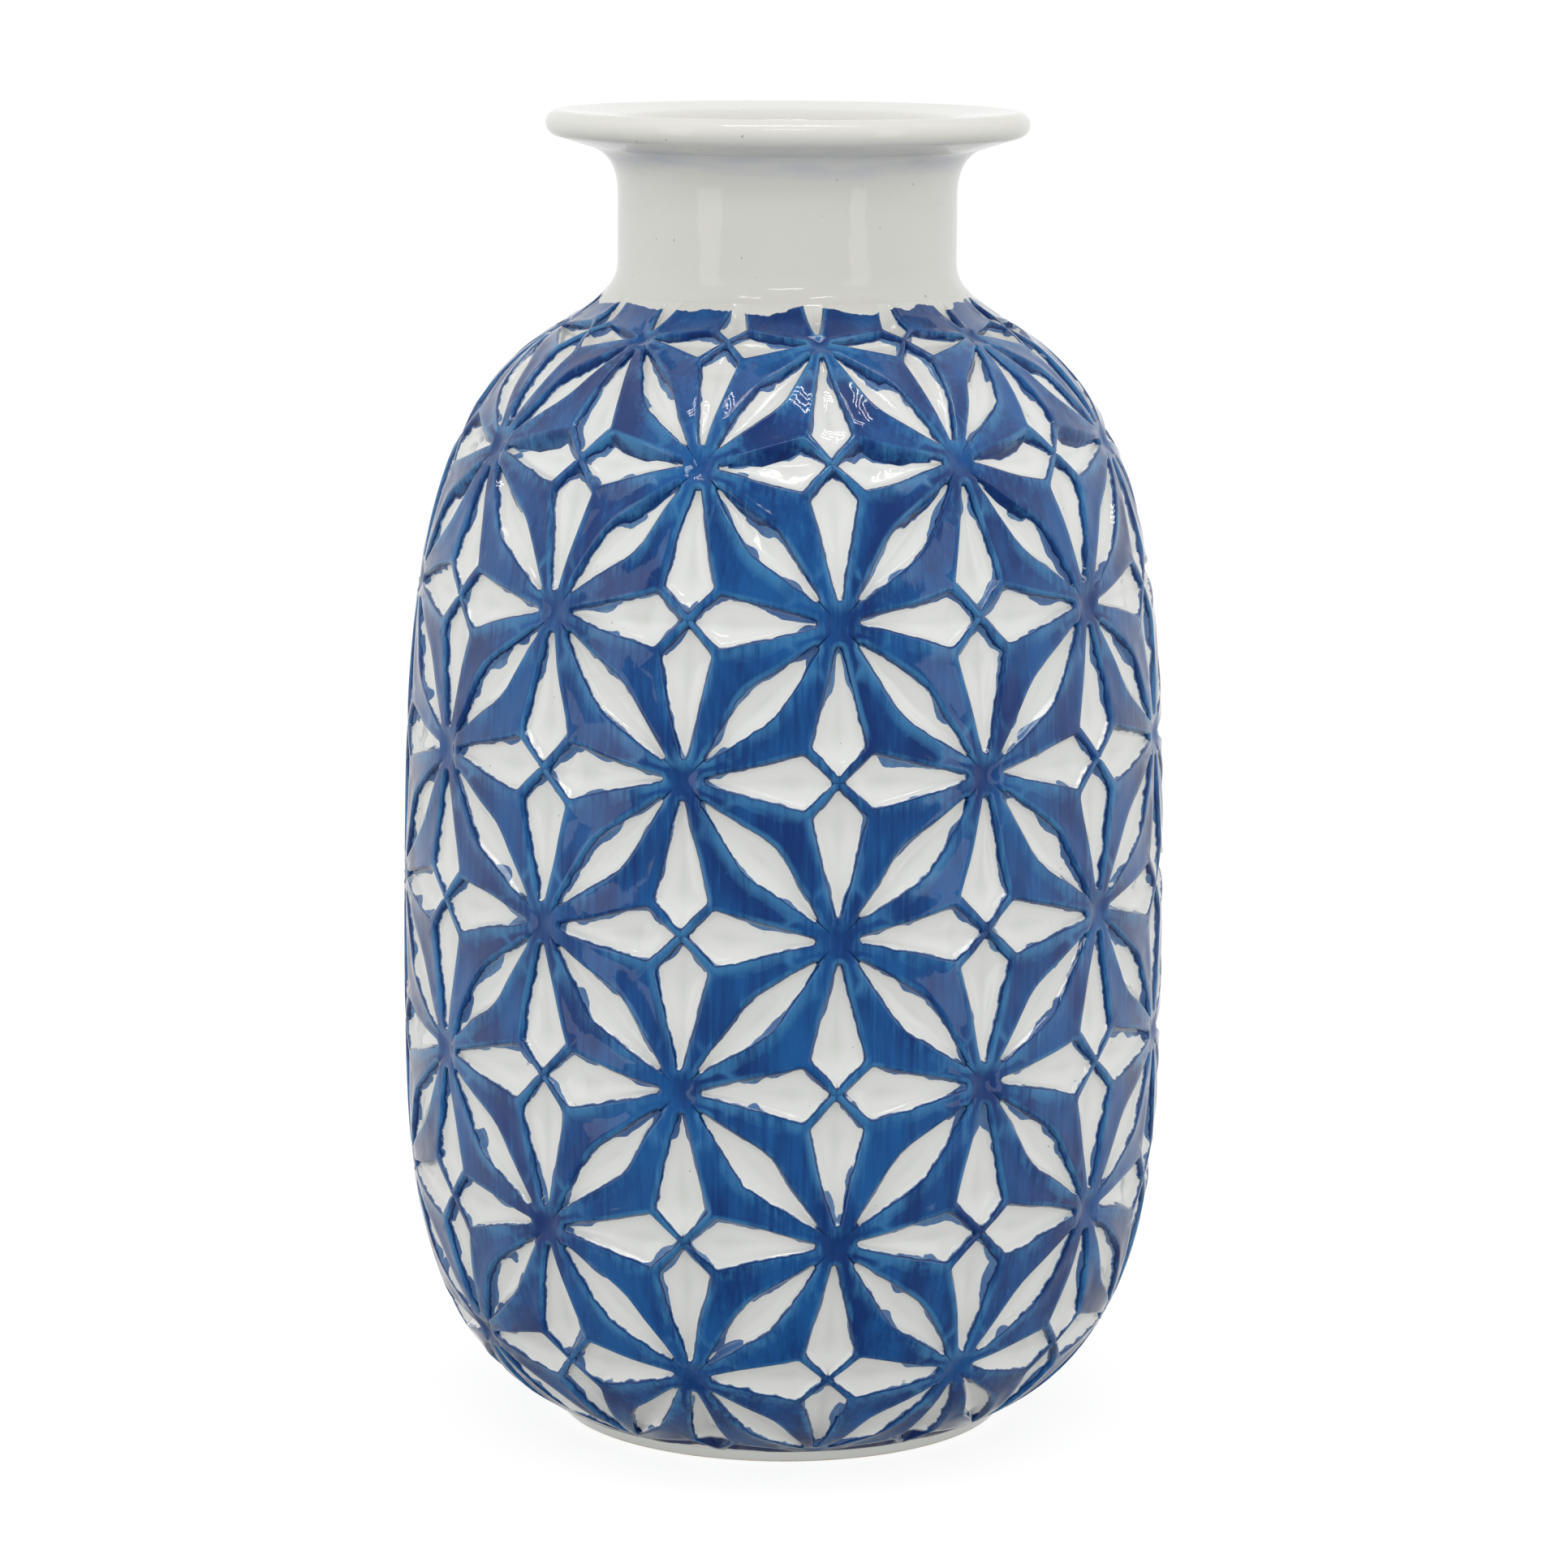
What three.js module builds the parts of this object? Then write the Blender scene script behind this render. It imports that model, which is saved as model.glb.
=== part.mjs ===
// Moulded pottery vase with a carved star relief. Millimetres, +Z up, standing on z = 0.
// Its clay sections stack on level joints, the way a potter lutes them together:
// foot ring, base floor, body wall, neck collar and rim lip.
import * as THREE from "three";

// ---- heights of the sections ----
const HEIGHT = 305; // table to the top of the lip
const FOOT_HEIGHT = 3; // foot ring, and so the recess under the floor
const FLOOR_THICKNESS = 6;
const COLLAR_DROP = 41; // body and collar joint, below the top of the lip
const LIP_DROP = 8.3; // collar and lip joint, below the top of the lip

// ---- foot and floor ----
const FOOT_RADIUS = 52.3; // where the vase meets the table
const FOOT_FLARE = 2.2; // the ring's side leans out by this to meet the wall
const FOOT_WIDTH = 9; // radial width of the ring under the wall
const FOOT_CHAMFER = 0.6;
const FLOOR_LEDGE = 2.6; // width of the ring that carries the floor disc
const JOINT_GAP = 0.5; // slip round the edge of the floor disc

// ---- body outline, along the crests of the relief ----
const BELLY_RADIUS = 89;
const BELLY_LEVEL = 105;
const HEEL_ANGLE = 25; // degrees, rise of the wall as it leaves the foot
const HEEL_HANDLE = 38; // the handles set how full each curve is
const BELLY_HANDLE_DOWN = 43;
const BELLY_HANDLE_UP = 84.6;
const SHOULDER_RADIUS = 52.5; // where the shoulder turns from convex to hollow
const SHOULDER_DROP = 48.7; // that point, below the top of the lip
const SHOULDER_ANGLE = 30.4; // degrees, fall of the shoulder there
const SHOULDER_HANDLE_OUT = 40;
const SHOULDER_HANDLE_IN = 15.4;
const BODY_WALL = 5.4; // crest of the relief to the inside

// ---- neck and lip ----
const NECK_RADIUS = 39;
const NECK_WALL = 4.4;
const NECK_FOOT_DROP = 33.3; // the neck is straight between these two drops
const NECK_HEAD_DROP = 19;
const NECK_HANDLE = 4.5;
const LIP_RADIUS = 55.5;
const LIP_EDGE = 3; // radius of the lip's rounded edge
const LIP_RISE = 17; // degrees, slope of the lip's underside
const LIP_DISH = 7; // degrees, fall of the lip's top towards the mouth
const MOUTH_ROUND = 6.5; // rounding from the lip's top into the mouth

// ---- relief ----
const COLUMNS = 16; // stars and crosses side by side round the body, an even number
const ROWS = 8; // relief tiles from the foot to the shoulder
const FIRST_STAR_TURN = 7.9; // degrees from the front to the first column of stars
const PLAIN_BAND = 12.5; // smooth wall between the relief and the collar
const HUB_DEPTH = 0.9; // depths below the crests
const PETAL_DEPTH = 2.2;
const CROSS_DEPTH = 0.3;
const FADE_LENGTH = 6; // the relief dies out over this length at the foot

// ---- smoothness ----
const ROUND_STEPS = 64; // facets of the plain rings
const INNER_STEPS = 14; // rings of the inside wall
const CURVE_STEPS = 6; // chords along each curve of a plain ring's section

const GLAZE_WHITE = 0xe1e2dc;
const GLAZE_BLUE = 0x2450a0;
const BARE_CLAY = 0xcfc8bb;

const radians = THREE.MathUtils.degToRad;
const point = (radius, level) => new THREE.Vector2(radius, level);
const collarLevel = HEIGHT - COLLAR_DROP;
const lipLevel = HEIGHT - LIP_DROP;
const boreRadius = NECK_RADIUS - NECK_WALL;
const footBore = FOOT_RADIUS - FOOT_WIDTH;
const floorRadius = footBore + FLOOR_LEDGE;

// Point at a length and an angle from another; the angle is in degrees above the outward radius.
function offset(from, length, angle) {
  const a = radians(angle);
  return point(from.x + length * Math.cos(a), from.y + length * Math.sin(a));
}

// The wall's outside from the foot joint to the straight neck, as radius and level.
function bodyOutline() {
  const heel = point(FOOT_RADIUS + FOOT_FLARE, FOOT_HEIGHT);
  const belly = point(BELLY_RADIUS, BELLY_LEVEL);
  const shoulder = point(SHOULDER_RADIUS, HEIGHT - SHOULDER_DROP);
  const neck = point(NECK_RADIUS, HEIGHT - NECK_FOOT_DROP);
  const outline = new THREE.CurvePath();
  outline.add(new THREE.CubicBezierCurve(
    heel, offset(heel, HEEL_HANDLE, HEEL_ANGLE), offset(belly, BELLY_HANDLE_DOWN, -90), belly));
  outline.add(new THREE.CubicBezierCurve(
    belly, offset(belly, BELLY_HANDLE_UP, 90),
    offset(shoulder, SHOULDER_HANDLE_OUT, -SHOULDER_ANGLE), shoulder));
  outline.add(new THREE.CubicBezierCurve(
    shoulder, offset(shoulder, SHOULDER_HANDLE_IN, 180 - SHOULDER_ANGLE),
    offset(neck, NECK_HANDLE, -90), neck));
  return outline;
}

const outline = bodyOutline();
const outlineLength = outline.getLength();

// Point of the wall at a length along the outline and a depth below its crests.
function wallPoint(length, depth) {
  const t = Math.min(length / outlineLength, 1);
  const along = outline.getTangent(t);
  return outline.getPoint(t).add(point(-along.y, along.x).multiplyScalar(depth));
}

// Length along the outline at which it reaches a level, by halving.
function lengthAtLevel(level) {
  let low = 0;
  let high = outlineLength;
  for (let i = 0; i < 40; i += 1) {
    const middle = (low + high) / 2;
    if (wallPoint(middle, 0).y < level) low = middle;
    else high = middle;
  }
  return low;
}

const wallLength = lengthAtLevel(collarLevel);
const tileHeight = (wallLength - PLAIN_BAND) / ROWS;

// ---- the relief tile ----
// A quarter of a tile, between a star's hub at (0, 0), a cross at (1, 0) and the tile's middle.
// Each point is its place along and across the tile and its depth below the crest.
const TILE_POINTS = {
  hub: [0, 0, HUB_DEPTH],
  petalWaist: [0.45, 0, 0.7 * PETAL_DEPTH],
  petalBed: [0.77, 0, PETAL_DEPTH],
  petalWaistEdge: [0.45, 0.085, 0],
  petalCorner: [0.77, 0.16, 0],
  cross: [1, 0, CROSS_DEPTH],
  leafCorner: [0.58, 0.42, 0],
  leafBed: [0.5, 0.5, PETAL_DEPTH],
};
const TILE_FACES = [
  ["hub", "petalWaist", "petalWaistEdge"],
  ["petalWaist", "petalCorner", "petalWaistEdge"],
  ["petalWaist", "petalBed", "petalCorner"],
  ["petalBed", "cross", "petalCorner"],
  ["hub", "leafCorner", "leafBed"],
  ["hub", "petalWaistEdge", "leafCorner"],
  ["petalWaistEdge", "petalCorner", "leafCorner"],
  ["petalCorner", "cross", "leafCorner"],
];
// The four turns of the quarter that fill a tile, and whether each one mirrors its faces.
const TILE_TURNS = [
  { place: (u, v) => [u, v], mirrored: false },
  { place: (u, v) => [v, u], mirrored: true },
  { place: (u, v) => [1 - v, 1 - u], mirrored: true },
  { place: (u, v) => [1 - u, 1 - v], mirrored: false },
];

// Collects shared vertices, and the faces between them, for a wall that turns round the Z axis.
class WallMesh {
  constructor() {
    this.positions = [];
    this.faces = [];
    this.known = new Map();
  }

  // Vertex at a place in columns round the wall, with its radius and level.
  vertex(column, { x: radius, y: level }) {
    const turn = radians(FIRST_STAR_TURN + (360 * column) / COLUMNS);
    this.positions.push(radius * Math.sin(turn), -radius * Math.cos(turn), level);
    return this.positions.length / 3 - 1;
  }

  // Vertex of the relief, made once where tiles share it.
  reliefVertex(column, row, depth) {
    const round = column % COLUMNS;
    const key = `${round.toFixed(4)} ${row.toFixed(4)}`;
    if (!this.known.has(key)) {
      const length = row * tileHeight;
      const fade = THREE.MathUtils.smoothstep(length, 0, FADE_LENGTH);
      const index = this.vertex(round, wallPoint(length, depth * fade));
      this.known.set(key, { column: round, row, index });
    }
    return this.known.get(key).index;
  }

  // One tile; stars and crosses change places from each tile to the next.
  tile(column, row) {
    const flipped = (column + row) % 2 === 1;
    for (const turn of TILE_TURNS) {
      for (const names of TILE_FACES) {
        const corners = names.map((name) => {
          const [along, across, depth] = TILE_POINTS[name];
          const [u, v] = turn.place(along, across);
          return this.reliefVertex(column + (flipped ? 1 - u : u), row + v, depth);
        });
        if (turn.mirrored !== flipped) corners.reverse();
        this.faces.push(corners);
      }
    }
  }

  // The relief's own vertices along a row, in order round the wall.
  reliefRing(row) {
    const ring = [...this.known.values()].filter((vertex) => Math.abs(vertex.row - row) < 1e-4);
    return ring.sort((a, b) => a.column - b.column);
  }

  // Band of faces from one ring up to the next, outward when the rings rise.
  band(lower, upper) {
    lower.forEach((start, i) => {
      const next = (i + 1) % lower.length;
      this.faces.push([start, lower[next], upper[next]], [start, upper[next], upper[i]]);
    });
  }

  geometry() {
    const geometry = new THREE.BufferGeometry();
    geometry.setAttribute("position", new THREE.Float32BufferAttribute(this.positions, 3));
    geometry.setIndex(this.faces.flat());
    geometry.computeVertexNormals();
    return geometry;
  }
}

// Section of the body wall's inside, from the collar joint down to the foot ring.
function innerSection() {
  const section = [point(boreRadius, collarLevel)];
  for (let i = INNER_STEPS; i > 0; i -= 1) {
    section.push(wallPoint((i / (INNER_STEPS + 0.5)) * wallLength, BODY_WALL));
  }
  const seat = floorRadius + JOINT_GAP;
  section.push(point(seat, FOOT_HEIGHT + FLOOR_THICKNESS), point(seat, FOOT_HEIGHT));
  return section;
}

function bodyWall() {
  const wall = new WallMesh();
  for (let row = 0; row < ROWS; row += 1) {
    for (let column = 0; column < COLUMNS; column += 1) wall.tile(column, row);
  }
  const bottom = wall.reliefRing(0);
  const top = wall.reliefRing(ROWS);
  const sections = [wallPoint(wallLength, 0), ...innerSection()];
  const rings = sections.map((place) => top.map(({ column }) => wall.vertex(column, place)));
  rings.unshift(top.map(({ index }) => index));
  rings.push(bottom.map(({ index }) => index));
  for (let i = 1; i < rings.length; i += 1) wall.band(rings[i - 1], rings[i]);
  return wall.geometry();
}

// ---- the plain rings ----
// Turns a closed section of radius and level round the Z axis.
function turned(section) {
  const closed = [...section, section[0]];
  return new THREE.LatheGeometry(closed, ROUND_STEPS).rotateX(Math.PI / 2);
}

// Points of a round corner about a centre, between two angles above the outward radius.
function arc(centre, radius, from, to) {
  const steps = Array.from({ length: CURVE_STEPS + 1 }, (_, i) => from + ((to - from) * i) / CURVE_STEPS);
  return steps.map((angle) => offset(centre, radius, angle));
}

function footRing() {
  const outer = FOOT_RADIUS;
  return turned([
    point(footBore + FOOT_CHAMFER, 0),
    point(outer - FOOT_CHAMFER, 0),
    point(outer, FOOT_CHAMFER),
    point(outer + FOOT_FLARE, FOOT_HEIGHT),
    point(footBore, FOOT_HEIGHT),
    point(footBore, FOOT_CHAMFER),
  ]);
}

function baseFloor() {
  return new THREE.CylinderGeometry(floorRadius, floorRadius, FLOOR_THICKNESS, ROUND_STEPS)
    .rotateX(Math.PI / 2);
}

// Radius of the lip's sloping underside at a level.
function lipUnderside(level) {
  const tangent = offset(point(LIP_RADIUS - LIP_EDGE, HEIGHT - LIP_EDGE), LIP_EDGE, LIP_RISE - 90);
  return tangent.x - (tangent.y - level) / Math.tan(radians(LIP_RISE));
}

function neckCollar() {
  const outside = [];
  const neckFoot = outlineLength - wallLength;
  for (let i = 0; i <= CURVE_STEPS; i += 1) {
    outside.push(wallPoint(wallLength + (neckFoot * i) / CURVE_STEPS, 0));
  }
  const head = point(NECK_RADIUS, HEIGHT - NECK_HEAD_DROP);
  const brim = point(lipUnderside(lipLevel), lipLevel);
  const bend = point(NECK_RADIUS, lipLevel - (brim.x - NECK_RADIUS) * Math.tan(radians(LIP_RISE)));
  const flare = new THREE.QuadraticBezierCurve(head, bend, brim);
  outside.push(...flare.getPoints(CURVE_STEPS));
  return turned([...outside, point(boreRadius, lipLevel), point(boreRadius, collarLevel)]);
}

function rimLip() {
  const edge = point(LIP_RADIUS - LIP_EDGE, HEIGHT - LIP_EDGE);
  const dishEdge = offset(edge, LIP_EDGE, 90 + LIP_DISH);
  const dish = radians(LIP_DISH);
  const dishAt = (radius) => dishEdge.y - (dishEdge.x - radius) * Math.tan(dish);
  // The rounding into the mouth ends above the joint.
  const room = (dishAt(boreRadius) - lipLevel) / (1 / Math.cos(dish) - Math.tan(dish));
  const round = Math.min(MOUTH_ROUND, 0.95 * room);
  const mouth = point(boreRadius + round, dishAt(boreRadius + round) - round / Math.cos(dish));
  return turned([
    point(boreRadius, lipLevel),
    point(lipUnderside(lipLevel), lipLevel),
    ...arc(edge, LIP_EDGE, LIP_RISE - 90, 90),
    dishEdge,
    ...arc(mouth, round, 90 + LIP_DISH, 180),
  ]);
}

// ---- assembly ----
function piece(name, geometry, color, roughness) {
  const material = new THREE.MeshStandardMaterial({ color, roughness, metalness: 0 });
  const mesh = new THREE.Mesh(geometry, material);
  mesh.name = name;
  return mesh;
}

const vase = new THREE.Group();
const floor = piece("base_floor", baseFloor(), GLAZE_WHITE, 0.3);
floor.position.z = FOOT_HEIGHT + FLOOR_THICKNESS / 2;
vase.add(
  piece("foot_ring", footRing(), BARE_CLAY, 0.8),
  floor,
  piece("body_wall", bodyWall(), GLAZE_BLUE, 0.12),
  piece("neck_collar", neckCollar(), GLAZE_WHITE, 0.12),
  piece("rim_lip", rimLip(), GLAZE_WHITE, 0.12),
);

export default vase;
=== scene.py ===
"""Moulded pottery vase with a carved star relief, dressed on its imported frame.

The vase is one glazed body made of five sections: foot ring, base floor, body wall, neck collar and
rim lip. Each section is a class with its own sizes. Lengths are in metres and the frame is +Z up,
with the front towards -Y.
"""
from __future__ import annotations

import logging
import math
from dataclasses import dataclass, field
from enum import Enum

import bmesh
import bpy
import numpy as np
from mathutils import Matrix, Vector, noise
from mathutils.geometry import delaunay_2d_cdt

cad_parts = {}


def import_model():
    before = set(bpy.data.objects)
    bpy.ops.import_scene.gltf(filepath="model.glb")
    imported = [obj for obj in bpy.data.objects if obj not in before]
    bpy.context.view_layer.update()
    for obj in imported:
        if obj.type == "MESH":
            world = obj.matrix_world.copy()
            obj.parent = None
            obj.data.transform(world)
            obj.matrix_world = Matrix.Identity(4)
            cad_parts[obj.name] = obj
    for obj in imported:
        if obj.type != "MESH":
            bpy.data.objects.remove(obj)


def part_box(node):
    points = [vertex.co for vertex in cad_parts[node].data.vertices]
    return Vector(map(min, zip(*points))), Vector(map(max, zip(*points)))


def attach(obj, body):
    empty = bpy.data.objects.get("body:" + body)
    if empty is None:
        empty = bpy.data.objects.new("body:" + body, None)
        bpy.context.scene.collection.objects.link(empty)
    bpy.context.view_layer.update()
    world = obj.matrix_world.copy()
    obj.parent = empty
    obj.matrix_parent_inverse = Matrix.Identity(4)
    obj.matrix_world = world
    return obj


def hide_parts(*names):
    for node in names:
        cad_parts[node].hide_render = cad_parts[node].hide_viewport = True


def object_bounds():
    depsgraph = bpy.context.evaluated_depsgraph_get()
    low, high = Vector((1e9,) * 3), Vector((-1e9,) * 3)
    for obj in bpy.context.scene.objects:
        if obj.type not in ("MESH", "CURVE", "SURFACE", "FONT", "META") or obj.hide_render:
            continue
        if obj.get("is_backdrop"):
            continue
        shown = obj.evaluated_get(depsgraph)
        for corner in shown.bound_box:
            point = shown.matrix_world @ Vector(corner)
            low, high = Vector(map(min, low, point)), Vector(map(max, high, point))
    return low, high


LOG = logging.getLogger("vase")
MM = 0.001


class Slot(Enum):
    """Material slots of the record."""

    PAINTED = "blue_and_white_glaze"
    WHITE = "white_glaze"
    CLAY = "bare_clay"


# ---------------------------------------------------------------------------------------------
# Outline of the wall
# ---------------------------------------------------------------------------------------------
@dataclass(frozen=True)
class Outline:
    """Outside of the wall along the crests of its relief, foot joint to neck.

    Three cubic curves meet at the belly and at the shoulder, where the wall turns from convex to
    hollow. Handles are lengths, and angles are degrees above the outward radius.
    """

    foot_radius: float
    foot_level: float
    belly_radius: float
    height: float
    belly_level: float = 105 * MM
    heel_angle: float = 25.0
    heel_handle: float = 38 * MM
    belly_handle_down: float = 43 * MM
    belly_handle_up: float = 84.6 * MM
    shoulder_radius: float = 52.5 * MM
    shoulder_drop: float = 48.7 * MM
    shoulder_angle: float = 30.4
    shoulder_handle_out: float = 40 * MM
    shoulder_handle_in: float = 15.4 * MM
    neck_radius: float = 39 * MM
    neck_drop: float = 33.3 * MM
    neck_handle: float = 4.5 * MM
    samples: int = 900

    def curves(self) -> list[np.ndarray]:
        """Control points of the three curves, as rows of radius and level."""
        heel = np.array([self.foot_radius, self.foot_level])
        belly = np.array([self.belly_radius, self.belly_level])
        shoulder = np.array([self.shoulder_radius, self.height - self.shoulder_drop])
        neck = np.array([self.neck_radius, self.height - self.neck_drop])
        fall = self.shoulder_angle
        return [
            np.array([heel, step(heel, self.heel_handle, self.heel_angle),
                      step(belly, self.belly_handle_down, -90), belly]),
            np.array([belly, step(belly, self.belly_handle_up, 90),
                      step(shoulder, self.shoulder_handle_out, -fall), shoulder]),
            np.array([shoulder, step(shoulder, self.shoulder_handle_in, 180 - fall),
                      step(neck, self.neck_handle, -90), neck]),
        ]

    def polyline(self) -> tuple[np.ndarray, np.ndarray]:
        """Lengths along the outline and the points there, closely spaced."""
        points = np.vstack([bezier(curve, self.samples) for curve in self.curves()])
        keep = np.r_[True, np.linalg.norm(np.diff(points, axis=0), axis=1) > 1e-9]
        points = points[keep]
        lengths = np.r_[0.0, np.cumsum(np.linalg.norm(np.diff(points, axis=0), axis=1))]
        return lengths, points

    def at(self, length: np.ndarray, depth: np.ndarray | float = 0.0) -> np.ndarray:
        """Points at lengths along the outline and depths below its crests.

        Args:
            length: Lengths from the foot joint.
            depth: Depths into the wall, one number or one for each length.

        Returns:
            Rows of radius and level.
        """
        lengths, points = self.polyline()
        tangents = np.gradient(points, lengths, axis=0)
        place = np.column_stack([np.interp(length, lengths, points[:, i]) for i in (0, 1)])
        along = np.column_stack([np.interp(length, lengths, tangents[:, i]) for i in (0, 1)])
        along /= np.linalg.norm(along, axis=1)[:, None]
        inward = np.column_stack([-along[:, 1], along[:, 0]])
        return place + inward * np.reshape(depth, (-1, 1))

    def length_at(self, level: float) -> float:
        """Length along the outline at which it reaches a level."""
        lengths, points = self.polyline()
        return float(np.interp(level, points[:, 1], lengths))


def step(start: np.ndarray, length: float, angle: float) -> np.ndarray:
    """Point at a length and an angle, in degrees above the outward radius, from another."""
    turn = math.radians(angle)
    return start + length * np.array([math.cos(turn), math.sin(turn)])


def bezier(control: np.ndarray, count: int) -> np.ndarray:
    """Points along a cubic curve, from its four control points."""
    t = np.linspace(0, 1, count)[:, None]
    weights = [(1 - t) ** 3, 3 * (1 - t) ** 2 * t, 3 * (1 - t) * t ** 2, t ** 3]
    return sum(weight * point for weight, point in zip(weights, control))


# ---------------------------------------------------------------------------------------------
# Relief
# ---------------------------------------------------------------------------------------------
@dataclass(frozen=True)
class RoundedShape:
    """A convex outline with rounded corners.

    Attributes:
        corners: Corner points in order round the outline.
        rounds: Rounding radius at each corner.
    """

    corners: tuple[tuple[float, float], ...]
    rounds: tuple[float, ...]

    def outline(self, spacing: float) -> np.ndarray:
        """Closed outline with arcs at the corners and even steps along the sides."""
        loop: list[np.ndarray] = []
        count = len(self.corners)
        for i, radius in enumerate(self.rounds):
            corner = np.array(self.corners[i])
            back = unit(np.array(self.corners[i - 1]) - corner)
            ahead = unit(np.array(self.corners[(i + 1) % count]) - corner)
            half = math.acos(float(np.clip(back @ ahead, -1, 1))) / 2
            centre = corner + unit(back + ahead) * radius / math.sin(half)
            start = corner + back * radius / math.tan(half) - centre
            end = corner + ahead * radius / math.tan(half) - centre
            sweep = math.pi - 2 * half
            turns = max(2, round(sweep / math.radians(34)), round(sweep * radius / spacing))
            if loop:
                loop.extend(evenly(loop[-1], centre + start, spacing))
            for k in range(turns + 1):
                a = (turns - k) / turns
                blend = math.sin(a * sweep) * start + math.sin((1 - a) * sweep) * end
                loop.append(centre + blend / math.sin(sweep))
        loop.extend(evenly(loop[-1], loop[0], spacing))
        return np.array(loop)

    def mirrored(self, matrix: tuple[tuple[float, float], ...], shift: tuple[float, float]) -> RoundedShape:
        """Copy of the shape carried by a two by two matrix and a shift."""
        moved = [tuple(np.array(matrix) @ np.array(c) + np.array(shift)) for c in self.corners]
        return RoundedShape(tuple(moved), self.rounds)


def unit(vector: np.ndarray) -> np.ndarray:
    """The vector at length one."""
    return vector / np.linalg.norm(vector)


def evenly(start: np.ndarray, end: np.ndarray, spacing: float) -> list[np.ndarray]:
    """Points between two others, without them, about a spacing apart."""
    count = max(1, round(float(np.linalg.norm(end - start)) / spacing))
    return [start + (end - start) * i / count for i in range(1, count)]


def signed_distance(points: np.ndarray, outline: np.ndarray) -> np.ndarray:
    """Distance from points to a closed convex outline, negative inside it."""
    start = outline
    side = np.roll(outline, -1, axis=0) - start
    reach = points[:, None, :] - start[None]
    share = np.clip((reach * side).sum(2) / (side ** 2).sum(1), 0, 1)
    gap = np.linalg.norm(reach - share[..., None] * side, axis=2).min(axis=1)
    turn = side[None, :, 0] * reach[..., 1] - side[None, :, 1] * reach[..., 0]
    inside = (turn >= 0).all(axis=1) | (turn <= 0).all(axis=1)
    return np.where(inside, -gap, gap)


@dataclass(frozen=True)
class Relief:
    """The chequerboard of stars and crosses, and the section of its pads and petals.

    A tile has stars at two opposite corners and crosses at the other two. Stars send a kite-shaped
    petal along each row and column and a leaf-shaped one along each diagonal. Places are in tile
    units and the section's lengths are in millimetres.
    """

    columns: int = 16
    rows: int = 8
    first_turn: float = 7.9
    plain_band: float = 12.5 * MM
    crown_squeeze: float = 1.8
    pitch: float = 34.6
    kite: RoundedShape = RoundedShape(
        corners=((0.1, 0.0), (0.775, -0.168), (0.957, 0.0), (0.775, 0.168)),
        rounds=(0.014, 0.03, 0.016, 0.03),
    )
    leaf: RoundedShape = RoundedShape(
        corners=((0.108, 0.108), (0.588, 0.412), (0.892, 0.892), (0.412, 0.588)),
        rounds=(0.012, 0.4, 0.012, 0.4),
    )
    wall_drop: float = 1.9
    wall_foot: float = -1.1
    wall_crest: float = 0.95
    wall_bias: float = 1.5
    bed_fall: float = 0.22
    pad_dish: float = 0.28
    pad_rim: float = 1.4
    hub_drop: float = 0.65
    hub_reach: float = 3.2
    hub_rings: tuple[float, ...] = (1.1, 2.2)
    brow: float = 3.0
    brow_rim: float = 0.6
    brow_knee: float = 0.3
    brow_drop: float = 0.4
    lower_shift: float = 0.55
    rings_out: tuple[float, ...] = (0.35, 0.72, 1.15, 2.5)
    rings_in: tuple[float, ...] = (0.32, 0.7, 1.15, 2.1)
    spacing: float = 0.1
    pad_spacing: float = 0.11

    def kites(self, spacing: float = 0.02) -> list[np.ndarray]:
        """Outlines of the kite petals that bound a quarter tile, in millimetres."""
        kite = self.kite
        shapes = [
            kite,
            kite.mirrored(((0, 1), (1, 0)), (0, 0)),
            kite.mirrored(((0, -1), (-1, 0)), (1, 1)),
            kite.mirrored(((-1, 0), (0, -1)), (1, 1)),
            kite.mirrored(((-1, 0), (0, 1)), (2, 0)),
            kite.mirrored(((0, 1), (1, 0)), (1, -1)),
        ]
        return [shape.outline(spacing) * self.pitch for shape in shapes]

    def leaves(self, spacing: float = 0.02) -> list[np.ndarray]:
        """Outlines of the leaf petals that bound a quarter tile, in millimetres."""
        leaf = self.leaf
        shapes = [
            leaf,
            leaf.mirrored(((1, 0), (0, -1)), (0, 0)),
            leaf.mirrored(((-1, 0), (0, 1)), (0, 0)),
        ]
        return [shape.outline(spacing) * self.pitch for shape in shapes]

    def distance(self, points: np.ndarray, outlines: list[np.ndarray]) -> np.ndarray:
        """Signed distance to the nearest petal's outline, negative inside a petal."""
        return np.min([signed_distance(points, outline) for outline in outlines], axis=0)

    def height(self, points: np.ndarray, gap: np.ndarray, brow: np.ndarray) -> np.ndarray:
        """Height of the relief, zero at the crests and negative below them.

        Args:
            points: Places in the quarter tile, with the star at the origin.
            gap: Signed distance of each point from the nearest petal.
            brow: How much further into the petal the wall comes down.
        """
        foot = self.wall_foot - brow
        rise = np.clip((gap - foot) / (self.wall_crest - foot), 0, 1) ** self.wall_bias
        wall = -(self.wall_drop + self.brow_drop * brow) * (1 - ease(rise))
        bed = self.bed_fall * np.minimum(gap - self.wall_foot, 0)
        dish = -self.pad_dish * ease((gap - self.wall_crest) / (2 * self.pad_rim))
        hub = -self.hub_drop * np.exp(-((np.linalg.norm(points, axis=1) / self.hub_reach) ** 2))
        return wall + bed + dish + np.where(gap > 0, hub, 0) * np.clip(gap, 0, 1)

    def fold(self, places: np.ndarray) -> np.ndarray:
        """Places anywhere on the sheet, in tile units, folded into the quarter tile."""
        tile = np.floor(places)
        inner = places - tile
        odd = (tile.sum(axis=1) % 2).astype(bool)
        inner[odd, 0] = 1 - inner[odd, 0]
        low = inner.sum(axis=1) > 1
        inner[low] = 1 - inner[low]
        return np.column_stack([inner.max(axis=1), inner.min(axis=1)])

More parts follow.
